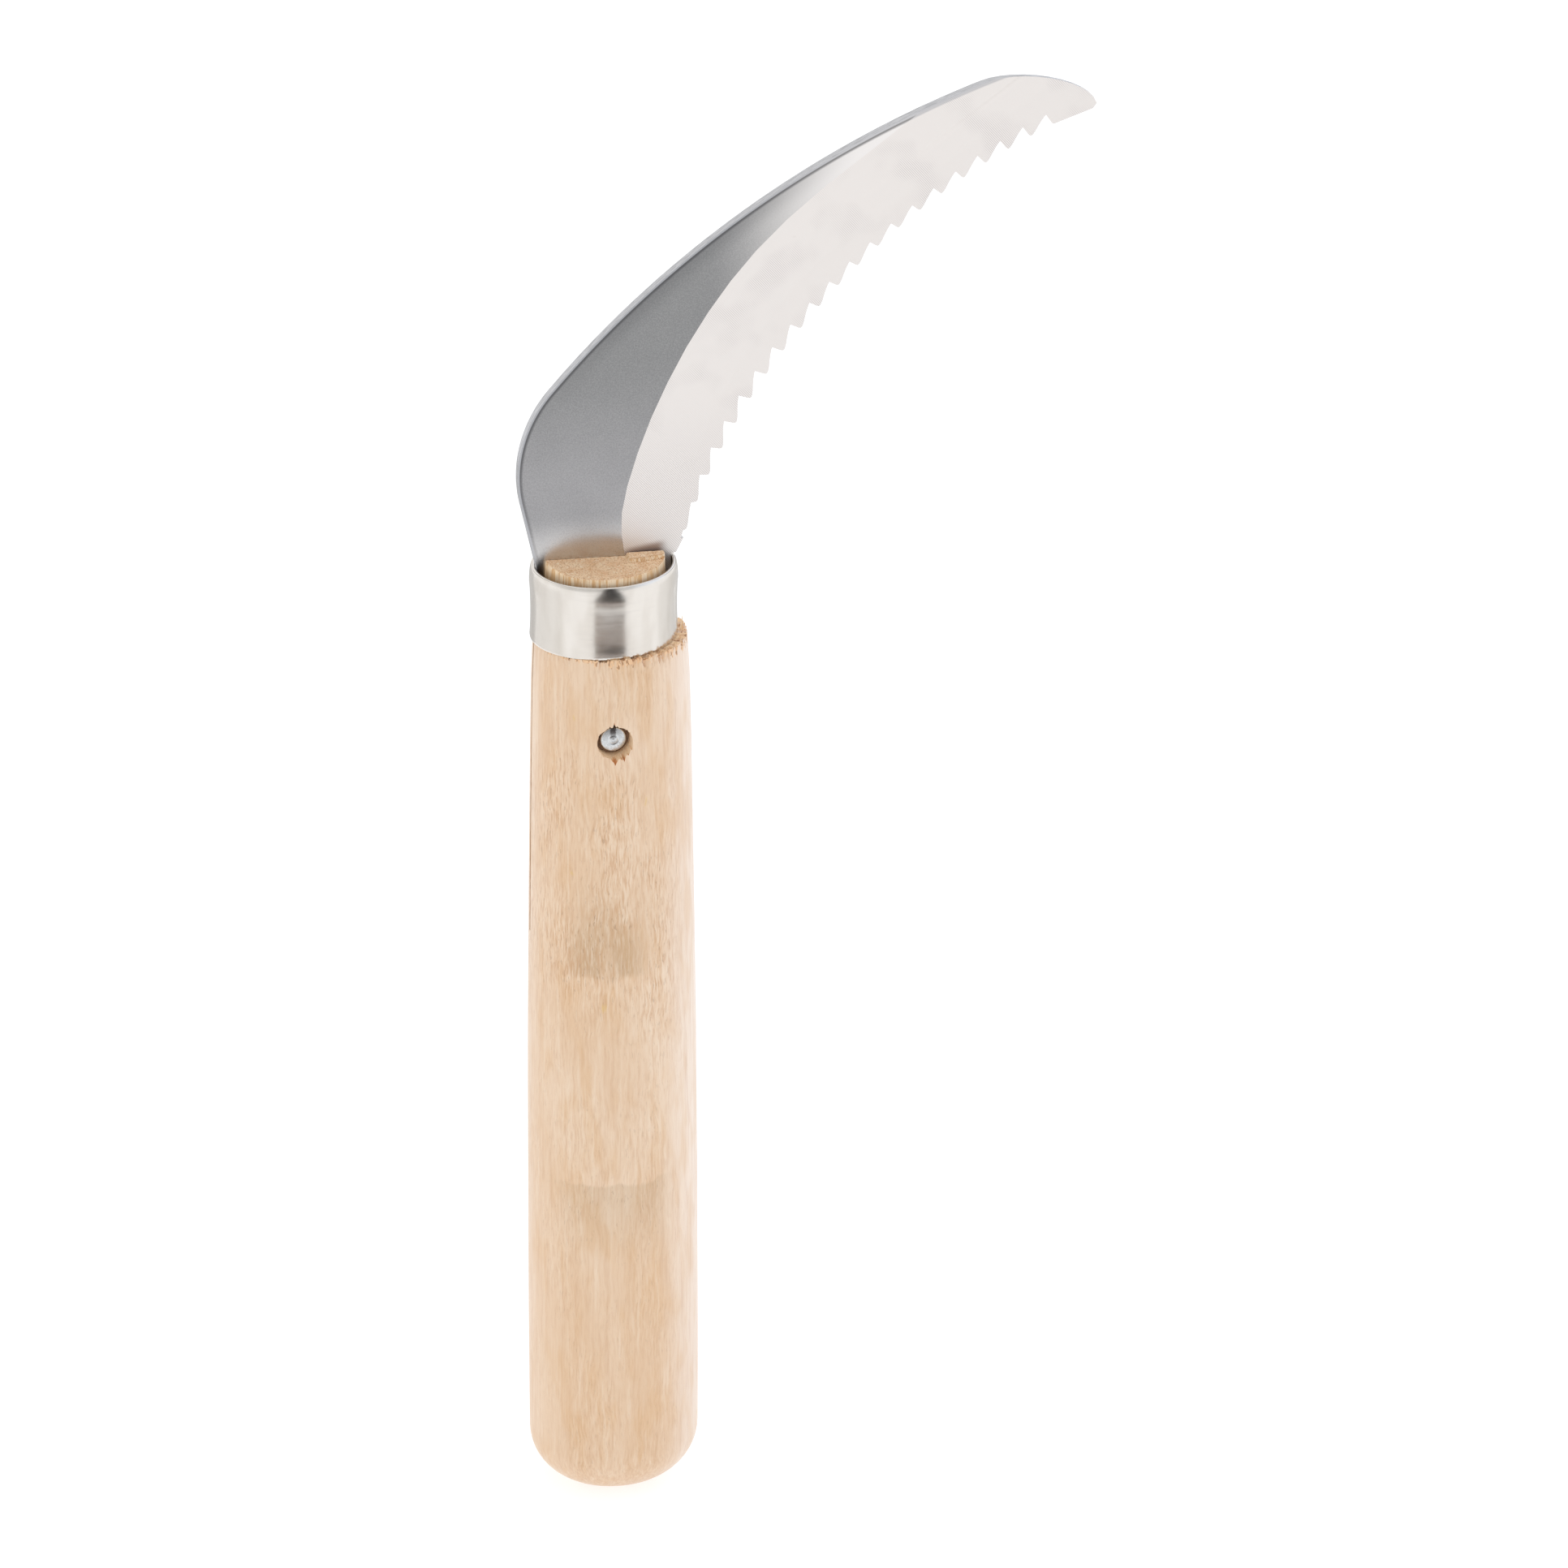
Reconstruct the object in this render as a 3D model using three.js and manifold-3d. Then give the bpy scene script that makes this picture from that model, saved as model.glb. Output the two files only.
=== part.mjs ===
// Hand sickle with a curved, toothed steel blade. The blade and its tang are one flat plate. The tang stands in a
// saw kerf of the wooden handle, a thin ferrule keeps the kerf shut, and one rivet pins tang and handle together.
//
// Millimetres, +Z up. The origin is the centre of the handle's flat butt, the handle's axis is +Z, and the blade
// lies in the XZ plane with its point toward +X. The ground face of the blade looks toward -Y.
import * as THREE from 'three';
import { mergeVertices } from 'three/addons/utils/BufferGeometryUtils.js';
import Module from 'manifold-3d';

// ---- Driving dimensions ----

// Handle. Its section is an oval whose Y half width is SECTION_RATIO times its X half width.
const SECTION_RATIO = 0.87;
const GRIP_HALF_WIDTH = 14.03; // the widest place, at GRIP_WIDEST_Z
const GRIP_WIDEST_Z = 20.4;
const SHOULDER_Z = 154.7;
const SHOULDER_DROP = 1.56; // how much narrower each side is at the shoulder
const BUTT_ROUND = 9.0; // radius of the butt's rounded edge

// Ferrule and tenon stand a little off the handle's axis, toward the blade's spine.
const FERRULE_X = -1.0;
const FERRULE_HEIGHT = 12.3;
const FERRULE_HALF_WIDTH = 11.8; // over the rolled edges
const FERRULE_WAIST = 0.17; // how far the middle is drawn in
const FERRULE_INNER = 11.1;
const TENON_ABOVE_FERRULE = 1.05;
const TENON_TOP_HALF = 9.65;
const TENON_FOOT_HALF = 10.3;
const TENON_RATIO = 0.92; // Y half width over X half width

// Blade plate.
const BLADE_THICKNESS = 1.5;
const GRIND_DEPTH = 1.0; // taken off the front face at the teeth
const GRIND_WIDTH = 14.5; // from the grind line to where the hollow grind runs out flat
const SPINE_CENTRE = new THREE.Vector2(106.5, 95.9);
const SPINE_RADIUS = 153.8;
const HEEL_RADIUS = 21.7;
const TOOTH_CENTRE = new THREE.Vector2(114.65, 134.85);
const TOOTH_RADIUS = 108.5;
const TOOTH_COUNT = 21;
const FIRST_TOOTH_ANGLE = 113.73; // degrees round TOOTH_CENTRE, next to the point
const LAST_TOOTH_ANGLE = 160.3; // next to the handle
const PITCH_GROWTH = 0.1; // the pitch is this share smaller at the point and larger at the handle than its mean
const GULLET_DEPTH = 1.7;
const GULLET_SWING = 0.3; // the gullets get shallower and deeper again along the edge by this much
const GULLET_SWING_LENGTH = 0.75; // as a share of the edge
const LAST_GULLET_DEPTH = 0.45;

// Tang and kerf.
const TANG_HALF_WIDTH = 10.9;
const TANG_END_HALF_WIDTH = 6.5;
const TANG_TAPER_Z = 150;
const TANG_END_Z = 112;
const KERF_GAP = 0.2;
const KERF_BOTTOM_Z = 102.9;

// Rivet.
const RIVET_X = -1.65;
const RIVET_Z = 140.4;
const RIVET_SHANK_RADIUS = 1.5;
const RIVET_HOLE_RADIUS = 1.7;
const RIVET_HEAD_RADIUS = 2.05;
const RIVET_HEAD_HEIGHT = 1.15;
const COUNTERBORE_RADIUS = 2.75;
const COUNTERBORE_DEPTH = 2.7;

const FERRULE_TOP_Z = SHOULDER_Z + FERRULE_HEIGHT;
const TENON_TOP_Z = FERRULE_TOP_Z + TENON_ABOVE_FERRULE;
const ROUND_SEGMENTS = 72;
const SMALL_ROUND_SEGMENTS = 32;
const CUT_OVERRUN = 5; // how far a cutter runs past the solid it cuts

// ---- Solids ----

const wasm = await Module();
wasm.setup();

// A closed three.js geometry as a manifold solid.
function toSolid(geometry) {
  const bare = geometry.clone();
  bare.deleteAttribute('normal');
  bare.deleteAttribute('uv');
  const merged = mergeVertices(bare, 1e-4);
  const index = merged.index.array;
  const corners = [];
  for (let i = 0; i < index.length; i += 3) {
    const [a, b, c] = [index[i], index[i + 1], index[i + 2]];
    if (a !== b && b !== c && c !== a) corners.push(a, b, c);
  }
  return new wasm.Manifold(new wasm.Mesh({
    numProp: 3,
    vertProperties: new Float32Array(merged.attributes.position.array),
    triVerts: new Uint32Array(corners),
  }));
}

// A manifold solid as a three.js geometry.
function toGeometry(solid) {
  const mesh = solid.getMesh();
  const geometry = new THREE.BufferGeometry();
  const points = new Float32Array(mesh.numVert * 3);
  for (let i = 0; i < mesh.numVert; i += 1) {
    for (let k = 0; k < 3; k += 1) points[3 * i + k] = mesh.vertProperties[mesh.numProp * i + k];
  }
  geometry.setAttribute('position', new THREE.BufferAttribute(points, 3));
  geometry.setIndex([...mesh.triVerts]);
  geometry.computeVertexNormals();
  return geometry;
}

// A profile of [radius, z] points turned round +Z and flattened to an oval in Y.
function turned(profile, segments, ratio = 1) {
  const points = profile.map(([radius, z]) => new THREE.Vector2(radius, z));
  const geometry = new THREE.LatheGeometry(points, segments);
  geometry.rotateX(Math.PI / 2);
  geometry.scale(1, ratio, 1);
  return geometry;
}

// A round bar along Y, centred on (x, z) and running from y0 to y1.
function crossBar(radius, x, z, y0, y1) {
  const geometry = new THREE.CylinderGeometry(radius, radius, y1 - y0, SMALL_ROUND_SEGMENTS);
  geometry.translate(x, (y0 + y1) / 2, z);
  return toSolid(geometry);
}

// ---- Handle ----

// X half width of the grip at height z, before the butt's rounding.
function gripHalfWidth(z) {
  const share = (z - GRIP_WIDEST_Z) / (SHOULDER_Z - GRIP_WIDEST_Z);
  return GRIP_HALF_WIDTH - SHOULDER_DROP * share * share;
}

const surfaceYAtRivet = SECTION_RATIO * gripHalfWidth(RIVET_Z);
const counterboreFloorY = surfaceYAtRivet - COUNTERBORE_DEPTH;

function gripProfile() {
  const roundSteps = 7;
  const gripSteps = 12;
  const profile = [[0, 0]];
  for (let i = 0; i <= roundSteps; i += 1) {
    const angle = (i / roundSteps) * (Math.PI / 2);
    const z = BUTT_ROUND * (1 - Math.cos(angle));
    profile.push([gripHalfWidth(z) - BUTT_ROUND * (1 - Math.sin(angle)), z]);
  }
  for (let i = 1; i <= gripSteps; i += 1) {
    const z = BUTT_ROUND + (i / gripSteps) * (SHOULDER_Z - BUTT_ROUND);
    profile.push([gripHalfWidth(z), z]);
  }
  profile.push([0, SHOULDER_Z]);
  return profile;
}

function makeHandle() {
  const tenonFootZ = SHOULDER_Z - CUT_OVERRUN;
  const tenonHeight = TENON_TOP_Z - tenonFootZ;
  const tenon = new THREE.CylinderGeometry(TENON_TOP_HALF, TENON_FOOT_HALF, tenonHeight, ROUND_SEGMENTS);
  tenon.rotateX(Math.PI / 2);
  tenon.scale(1, TENON_RATIO, 1);
  tenon.translate(FERRULE_X, 0, (tenonFootZ + TENON_TOP_Z) / 2);

  const kerfTopZ = TENON_TOP_Z + CUT_OVERRUN;
  const kerfWidth = BLADE_THICKNESS + 2 * KERF_GAP;
  const kerf = new THREE.BoxGeometry(4 * GRIP_HALF_WIDTH, kerfWidth, kerfTopZ - KERF_BOTTOM_Z);
  kerf.translate(0, 0, (kerfTopZ + KERF_BOTTOM_Z) / 2);

  const outsideY = surfaceYAtRivet + CUT_OVERRUN;
  return toSolid(turned(gripProfile(), ROUND_SEGMENTS, SECTION_RATIO))
    .add(toSolid(tenon))
    .subtract(toSolid(kerf))
    .subtract(crossBar(RIVET_HOLE_RADIUS, RIVET_X, RIVET_Z, -outsideY, outsideY))
    .subtract(crossBar(COUNTERBORE_RADIUS, RIVET_X, RIVET_Z, -outsideY, -counterboreFloorY))
    .subtract(crossBar(COUNTERBORE_RADIUS, RIVET_X, RIVET_Z, counterboreFloorY, outsideY));
}

// ---- Ferrule ----

// A closed wall section: up the outside over both rolled edges, and down the straight inside.
function ferruleProfile() {
  const edge = 1.6; // height of each rolled edge
  const lip = 0.35; // how far the rim turns in
  const waist = FERRULE_HALF_WIDTH - FERRULE_WAIST;
  const section = [
    [FERRULE_HALF_WIDTH - lip, 0],
    [FERRULE_HALF_WIDTH - lip / 4, edge / 4],
    [FERRULE_HALF_WIDTH, edge],
    [waist, FERRULE_HEIGHT / 2],
    [FERRULE_HALF_WIDTH, FERRULE_HEIGHT - edge],
    [FERRULE_HALF_WIDTH - lip / 4, FERRULE_HEIGHT - edge / 4],
    [FERRULE_HALF_WIDTH - lip, FERRULE_HEIGHT],
    [FERRULE_INNER, FERRULE_HEIGHT],
    [FERRULE_INNER, 0],
    [FERRULE_HALF_WIDTH - lip, 0],
  ];
  return section;
}

function makeFerrule() {
  const geometry = turned(ferruleProfile(), ROUND_SEGMENTS, SECTION_RATIO);
  geometry.translate(FERRULE_X, 0, SHOULDER_Z);
  return toSolid(geometry);
}

// ---- Blade ----

const degrees = THREE.MathUtils.degToRad;

// A point at a radius and angle (degrees) round a centre.
function polar(centre, radius, angle) {
  const a = degrees(angle);
  return new THREE.Vector2(centre.x + radius * Math.cos(a), centre.y + radius * Math.sin(a));
}

// Angle of tooth i round TOOTH_CENTRE; i may be a fraction, for a place between two teeth.
function toothAngle(i) {
  const share = i / (TOOTH_COUNT - 1);
  const warped = share + PITCH_GROWTH * (share * share - share);
  return FIRST_TOOTH_ANGLE + (LAST_TOOTH_ANGLE - FIRST_TOOTH_ANGLE) * warped;
}

// Depth of the gullet on the handle's side of tooth i. The last few are shallow.
function gulletDepth(i) {
  const share = i / (TOOTH_COUNT - 1);
  const cut = GULLET_DEPTH + GULLET_SWING * Math.cos((2 * Math.PI * share) / GULLET_SWING_LENGTH);
  return Math.max(cut * (1 - share ** 14), LAST_GULLET_DEPTH);
}

// Teeth from the point to the handle. Each has a narrow land, a short steep flank on the handle's side, a small flat
// gullet, and then the long, slightly rounded flank of the next tooth. TOOTH_FORM is one tooth, as shares of the
// pitch and of the gullet's depth.
const TOOTH_FORM = [[0, 0], [0.05, 0.04], [0.085, 0.22], [0.155, 1], [0.2, 0.97], [0.4, 0.74], [0.6, 0.47],
  [0.8, 0.18], [0.92, 0.05]];

function addTeeth(shape) {
  const lastShare = 0.45; // the last tooth's gullet ends in a short land, and then the blade narrows to the tang
  for (let i = 0; i < TOOTH_COUNT; i += 1) {
    const last = i === TOOTH_COUNT - 1;
    for (const [share, cut] of TOOTH_FORM) {
      if (last && share > lastShare) break;
      const p = polar(TOOTH_CENTRE, TOOTH_RADIUS + cut * gulletDepth(i), toothAngle(i + share));
      shape.lineTo(p.x, p.y);
    }
  }
}

function bladeOutline() {
  const heelAngle = 138.9; // where the heel's arc meets the spine's, round either centre
  const heelStart = 192.3;
  const spineEnd = 108.0;
  const heelCentre = polar(SPINE_CENTRE, SPINE_RADIUS - HEEL_RADIUS, heelAngle);
  const point = new THREE.Vector2(77.75, 237.0);
  const cornerZ = FERRULE_TOP_Z + 0.35;
  const left = FERRULE_X - TANG_HALF_WIDTH;
  const right = FERRULE_X + TANG_HALF_WIDTH;

  const shape = new THREE.Shape();
  shape.moveTo(FERRULE_X - TANG_END_HALF_WIDTH, TANG_END_Z);
  shape.lineTo(left, TANG_TAPER_Z);
  shape.lineTo(left, cornerZ);
  shape.absarc(heelCentre.x, heelCentre.y, HEEL_RADIUS, degrees(heelStart), degrees(heelAngle), true);
  shape.absarc(SPINE_CENTRE.x, SPINE_CENTRE.y, SPINE_RADIUS, degrees(heelAngle), degrees(spineEnd), true);
  const arcEnd = polar(SPINE_CENTRE, SPINE_RADIUS, spineEnd);
  const along = new THREE.Vector2(Math.sin(degrees(spineEnd)), -Math.cos(degrees(spineEnd)));
  const leave = arcEnd.clone().addScaledVector(along, 6.1);
  shape.bezierCurveTo(leave.x, leave.y, point.x - 1.1, point.y + 4.2, point.x, point.y);
  shape.lineTo(point.x - 0.6, point.y - 0.8);
  addTeeth(shape);
  shape.lineTo(right + 2, cornerZ + 2.3);
  shape.lineTo(right + 0.8, cornerZ);
  shape.lineTo(right, cornerZ - 0.1);
  shape.lineTo(right, TANG_TAPER_Z);
  shape.lineTo(FERRULE_X + TANG_END_HALF_WIDTH, TANG_END_Z);
  return shape;
}

// What the grinding wheel takes off the front face: a hollow grind from the grind line to beyond the teeth.
function makeGrindCutter() {
  const line = new THREE.SplineCurve([
    new THREE.Vector2(4.5, 158),
    new THREE.Vector2(2.2, 168),
    new THREE.Vector2(2.1, 177.5),
    new THREE.Vector2(7.2, 192.8),
    new THREE.Vector2(15.6, 208.2),
    new THREE.Vector2(26.8, 221.4),
    new THREE.Vector2(44.6, 235.3),
    new THREE.Vector2(64, 248.5),
    new THREE.Vector2(86, 262),
  ]);
  const stations = 22;
  const across = [-0.5, 2.4, 5.5, 9.5, GRIND_WIDTH, 2.6 * GRIND_WIDTH];
  const frontY = -BLADE_THICKNESS / 2;
  const clearY = frontY - 1;
  const points = [];
  for (let i = 0; i <= stations; i += 1) {
    const p = line.getPoint(i / stations);
    const t = line.getTangent(i / stations);
    for (const d of across) {
      const left = 1 - Math.min(d / GRIND_WIDTH, 1);
      const depth = GRIND_DEPTH * (1 - left * left);
      points.push([p.x + t.y * d, frontY + depth, p.y - t.x * d]);
    }
    for (const d of [across.at(-1), across[0]]) points.push([p.x + t.y * d, clearY, p.y - t.x * d]);
  }
  const ring = across.length + 2;
  const index = [];
  for (let i = 0; i < stations; i += 1) {
    for (let k = 0; k < ring; k += 1) {
      const a = i * ring + k;
      const b = i * ring + ((k + 1) % ring);
      index.push(a, a + ring, b, b, a + ring, b + ring);
    }
  }
  const last = stations * ring;
  for (let k = 1; k < ring - 1; k += 1) {
    index.push(0, k, k + 1);
    index.push(last, last + k + 1, last + k);
  }
  const geometry = new THREE.BufferGeometry();
  geometry.setAttribute('position', new THREE.Float32BufferAttribute(points.flat(), 3));
  geometry.setIndex(index);
  return toSolid(geometry);
}

function makeBlade() {
  const plate = new THREE.ExtrudeGeometry(bladeOutline(), {
    depth: BLADE_THICKNESS,
    bevelEnabled: false,
    curveSegments: 12,
  });
  plate.rotateX(Math.PI / 2);
  plate.translate(0, BLADE_THICKNESS / 2, 0);
  const outsideY = BLADE_THICKNESS + CUT_OVERRUN;
  return toSolid(plate)
    .subtract(makeGrindCutter())
    .subtract(crossBar(RIVET_HOLE_RADIUS, RIVET_X, RIVET_Z, -outsideY, outsideY));
}

// ---- Rivet ----

// Turned round its own axis: a head with a low dome and a small flat pip at each end of a plain shank.
function makeRivet() {
  const clearance = 0.05; // between each head and the counterbore's floor
  const under = counterboreFloorY + clearance;
  const rim = under + 0.35;
  const top = under + RIVET_HEAD_HEIGHT;
  const pip = 0.7;
  const half = [
    [RIVET_SHANK_RADIUS, under],
    [RIVET_HEAD_RADIUS, under],
    [RIVET_HEAD_RADIUS, rim],
    [0.82 * RIVET_HEAD_RADIUS, rim + 0.45 * (top - rim)],
    [pip, top - 0.1],
    [pip, top],
    [0, top],
  ];
  const mirrored = half.map(([radius, along]) => [radius, -along]).reverse();
  const geometry = turned([...mirrored, ...half], SMALL_ROUND_SEGMENTS);
  geometry.rotateX(Math.PI / 2);
  geometry.translate(RIVET_X, 0, RIVET_Z);
  return toSolid(geometry);
}

// ---- Assembly ----

const materials = {
  steel: new THREE.MeshStandardMaterial({ color: 0xb9b7b4, roughness: 0.35, metalness: 1 }),
  bright: new THREE.MeshStandardMaterial({ color: 0xdcdad6, roughness: 0.2, metalness: 1 }),
  wood: new THREE.MeshStandardMaterial({ color: 0xe3c8a6, roughness: 0.7, metalness: 0 }),
};

const sickle = new THREE.Group();

function addPart(name, solid, material) {
  const mesh = new THREE.Mesh(toGeometry(solid), material);
  mesh.name = name;
  sickle.add(mesh);
}

addPart('handle', makeHandle(), materials.wood);
addPart('ferrule', makeFerrule(), materials.bright);
addPart('blade', makeBlade(), materials.steel);
addPart('rivet', makeRivet(), materials.bright);

export default sickle;
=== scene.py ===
"""Looks of the hand sickle: refined wood, ferrule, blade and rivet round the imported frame, in a white studio.

Sizes are in millimetres in the part's own frame and become metres where a mesh is made. The butt is at
z = 0, the handle goes up +Z, and the blade lies in the XZ plane with its point toward +X.
"""
import math
import random

import bmesh
import bpy
from mathutils import Matrix, Vector, noise


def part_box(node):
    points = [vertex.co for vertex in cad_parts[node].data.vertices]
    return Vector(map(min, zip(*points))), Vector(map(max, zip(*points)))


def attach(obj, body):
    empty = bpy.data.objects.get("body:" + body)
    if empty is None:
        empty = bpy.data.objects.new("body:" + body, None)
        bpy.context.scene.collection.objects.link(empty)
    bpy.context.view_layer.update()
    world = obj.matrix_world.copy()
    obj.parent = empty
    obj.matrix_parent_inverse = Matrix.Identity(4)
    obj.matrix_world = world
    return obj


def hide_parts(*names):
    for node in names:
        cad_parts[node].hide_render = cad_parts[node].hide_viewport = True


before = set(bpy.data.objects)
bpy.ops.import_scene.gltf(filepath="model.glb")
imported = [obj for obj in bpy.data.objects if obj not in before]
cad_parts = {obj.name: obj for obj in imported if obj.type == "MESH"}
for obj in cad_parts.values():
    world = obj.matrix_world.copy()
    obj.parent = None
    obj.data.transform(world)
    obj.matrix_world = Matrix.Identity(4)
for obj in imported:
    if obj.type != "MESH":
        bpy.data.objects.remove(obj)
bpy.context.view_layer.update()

MM = 0.001


def box_mm(node):
    """Lowest and highest corner of a CAD node, in millimetres."""
    low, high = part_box(node)
    return low / MM, high / MM


HANDLE_HIGH = box_mm("handle")[1]
FERRULE_LOW, FERRULE_HIGH = box_mm("ferrule")
BLADE_LOW = box_mm("blade")[0]
RIVET_LOW, RIVET_HIGH = box_mm("rivet")

# Handle: an oval grip with a rounded butt, a flat shoulder and a smaller tenon.
GRIP_RATIO = HANDLE_HIGH.y / HANDLE_HIGH.x
GRIP_HALF = HANDLE_HIGH.x
GRIP_WIDEST_Z = 20.4
SHOULDER_Z = FERRULE_LOW.z
SHOULDER_DROP = 1.56
BUTT_ROUND = 9.0
TENON_TOP_Z = HANDLE_HIGH.z
TENON_X = (FERRULE_LOW.x + FERRULE_HIGH.x) / 2
TENON_FOOT_HALF = 10.25
TENON_TOP_HALF = 9.65
TENON_RATIO = 0.92
TENON_CORNER = 0.12
KERF_BOTTOM_Z = 102.9
KERF_HALF = 0.8
KERF_LIP_HALF = 0.3
KERF_LIP_DEPTH = 2.0
TANG_SLOT_HALF = 11.15
SAW_STEP = 0.5
STRIP_START = 2.5
STRIP_END = 8.5
STRIP_WIDTH = 2.2
STRIP_TAPER = 0.13

# Ferrule: a thin band with rolled edges.
FERRULE_HALF = (FERRULE_HIGH.x - FERRULE_LOW.x) / 2
FERRULE_RATIO = FERRULE_HIGH.y / FERRULE_HALF
FERRULE_WALL = 0.42
FERRULE_WAIST = 0.17

# Rivet, across the handle.
RIVET_X = (RIVET_LOW.x + RIVET_HIGH.x) / 2
RIVET_Z = (RIVET_LOW.z + RIVET_HIGH.z) / 2
HEAD_RADIUS = (RIVET_HIGH.x - RIVET_LOW.x) / 2
HEAD_TOP_Y = RIVET_HIGH.y
HEAD_HEIGHT = 1.15
COUNTERBORE_FLOOR_Y = HEAD_TOP_Y - HEAD_HEIGHT - 0.05
COUNTERBORE_RADIUS = 2.75

# Blade: its spine is a long arc that ends in a tighter heel arc. Both centres are (x, z).
BLADE_FRONT_Y = BLADE_LOW.y
SPINE_CENTRE = (106.5, 95.9)
SPINE_RADIUS = 153.8
HEEL_RADIUS = 21.7
HEEL_ANGLE = math.radians(138.9)
HEEL_START = math.radians(192.3)
GRIND_LINES_ANGLE = math.radians(-50)


# ---- Meshes ----

def add_mesh(name, points, faces, materials=(), sharp=30):
    """A smooth-shaded object from points in millimetres. Edges over `sharp` degrees stay sharp."""
    mesh = bpy.data.meshes.new(name)
    mesh.from_pydata([Vector(p) * MM for p in points], [], faces)
    mesh.update()
    for material in materials:
        mesh.materials.append(material)
    obj = bpy.data.objects.new(name, mesh)
    bpy.context.scene.collection.objects.link(obj)
    shade(obj, sharp)
    return obj


def shade(obj, sharp):
    mesh = obj.data
    mesh.shade_smooth()
    mesh.set_sharp_from_angle(angle=math.radians(sharp))


def loft(rings, close=False):
    """Faces of a skin over rings of equal length. With `close`, the last ring joins the first."""
    count = len(rings[0])
    points = [p for ring in rings for p in ring]
    faces = []
    for r in range(len(rings) if close else len(rings) - 1):
        here = r * count
        there = ((r + 1) % len(rings)) * count
        for k in range(count):
            after = (k + 1) % count
            faces.append((here + k, here + after, there + after, there + k))
    return points, faces


def cap(points, faces, ring_start, count, centre, up):
    """Closes a ring with a fan round a centre point."""
    points.append(centre)
    middle = len(points) - 1
    for k in range(count):
        a, b = ring_start + k, ring_start + (k + 1) % count
        faces.append((middle, a, b) if up else (middle, b, a))


def smoothstep(low, high, value):
    t = min(max((value - low) / (high - low), 0.0), 1.0)
    return t * t * (3 - 2 * t)


def evaluated(obj):
    """Bakes an object's modifiers into its mesh."""
    depsgraph = bpy.context.evaluated_depsgraph_get()
    mesh = bpy.data.meshes.new_from_object(obj.evaluated_get(depsgraph))
    obj.modifiers.clear()
    old = obj.data
    obj.data = mesh
    bpy.data.meshes.remove(old)


# ---- Node graphs ----

class Graph:
    """Short calls for building a node tree. Values may be numbers, colours or sockets."""

    def __init__(self, tree):
        self.tree = tree

    def put(self, socket, value):
        if isinstance(value, bpy.types.NodeSocket):
            self.tree.links.new(value, socket)
        elif socket.type == "RGBA":
            socket.default_value = (*value, 1.0)
        else:
            socket.default_value = value

    def node(self, kind, inputs, output=0, **settings):
        made = self.tree.nodes.new(kind)
        for key, value in settings.items():
            setattr(made, key, value)
        for key, value in inputs.items():
            self.put(made.inputs[key], value)
        return made.outputs[output]

    def place(self, scale=(1, 1, 1), turn=(0, 0, 0), shift=(0, 0, 0)):
        """Position on the part in millimetres, turned, then scaled."""
        where = self.node("ShaderNodeTexCoord", {}, output="Object")
        mm = self.node("ShaderNodeVectorMath", {0: where, "Scale": 1 / MM}, operation="SCALE")
        if any(turn):
            mm = self.node("ShaderNodeMapping", {"Vector": mm, "Rotation": turn})
        return self.node("ShaderNodeMapping", {"Vector": mm, "Scale": scale, "Location": shift})

    def axis(self, name):
        return self.node("ShaderNodeSeparateXYZ", {"Vector": self.place()}, output="XYZ".index(name))

    def noise(self, vector, detail=2.0, roughness=0.5, distortion=0.0, scale=1.0):
        return self.node("ShaderNodeTexNoise", {"Vector": vector, "Scale": scale, "Detail": detail,
                                                "Roughness": roughness, "Distortion": distortion})

    def cells(self, vector, scale=1.0):
        return self.node("ShaderNodeTexVoronoi", {"Vector": vector, "Scale": scale})

    def ramp(self, value, low, high, to_low=0.0, to_high=1.0):
        return self.node("ShaderNodeMapRange", {"Value": value, "From Min": low, "From Max": high,
                                                "To Min": to_low, "To Max": to_high},
                         interpolation_type="SMOOTHSTEP")

    def maths(self, operation, a, b=0.0, clamp=False):
        return self.node("ShaderNodeMath", {0: a, 1: b}, operation=operation, use_clamp=clamp)

    def times(self, a, *others):
        for b in others:
            a = self.maths("MULTIPLY", a, b)
        return a

    def mix(self, factor, a, b):
        return self.node("ShaderNodeMix", {0: factor, 6: a, 7: b}, output=2, data_type="RGBA")

    def bump(self, height, distance, strength=1.0, normal=None):
        """Height in 0..1 times `distance` millimetres."""
        inputs = {"Height": height, "Distance": distance * MM, "Strength": strength}
        if normal is not None:
            inputs["Normal"] = normal
        return self.node("ShaderNodeBump", inputs)


def new_material(name):
    material = bpy.data.materials.new(name)
    material.use_nodes = True
    material.node_tree.nodes.clear()
    return material, Graph(material.node_tree)


def finish_material(graph, colour, roughness, metallic=0.0, normal=None, **constants):
    tree = graph.tree
    shader = tree.nodes.new("ShaderNodeBsdfPrincipled")
    graph.put(shader.inputs["Base Color"], colour)
    graph.put(shader.inputs["Roughness"], roughness)
    shader.inputs["Metallic"].default_value = metallic
    if normal is not None:
        graph.put(shader.inputs["Normal"], normal)
    for key, value in constants.items():
        shader.inputs[key.replace("_", " ")].default_value = value
    output = tree.nodes.new("ShaderNodeOutputMaterial")
    tree.links.new(shader.outputs[0], output.inputs["Surface"])


# ---- Wood ----

# Heights of marks on the grip.
UPPER_STAIN_TOP_Z = 120
UPPER_STAIN_FOOT_Z = 99
LOWER_STAIN_TOP_Z = 61
LOWER_STAIN_FOOT_Z = 44
HANDLED_FOOT_Z = 80
HANDLED_TOP_Z = 142

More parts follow.
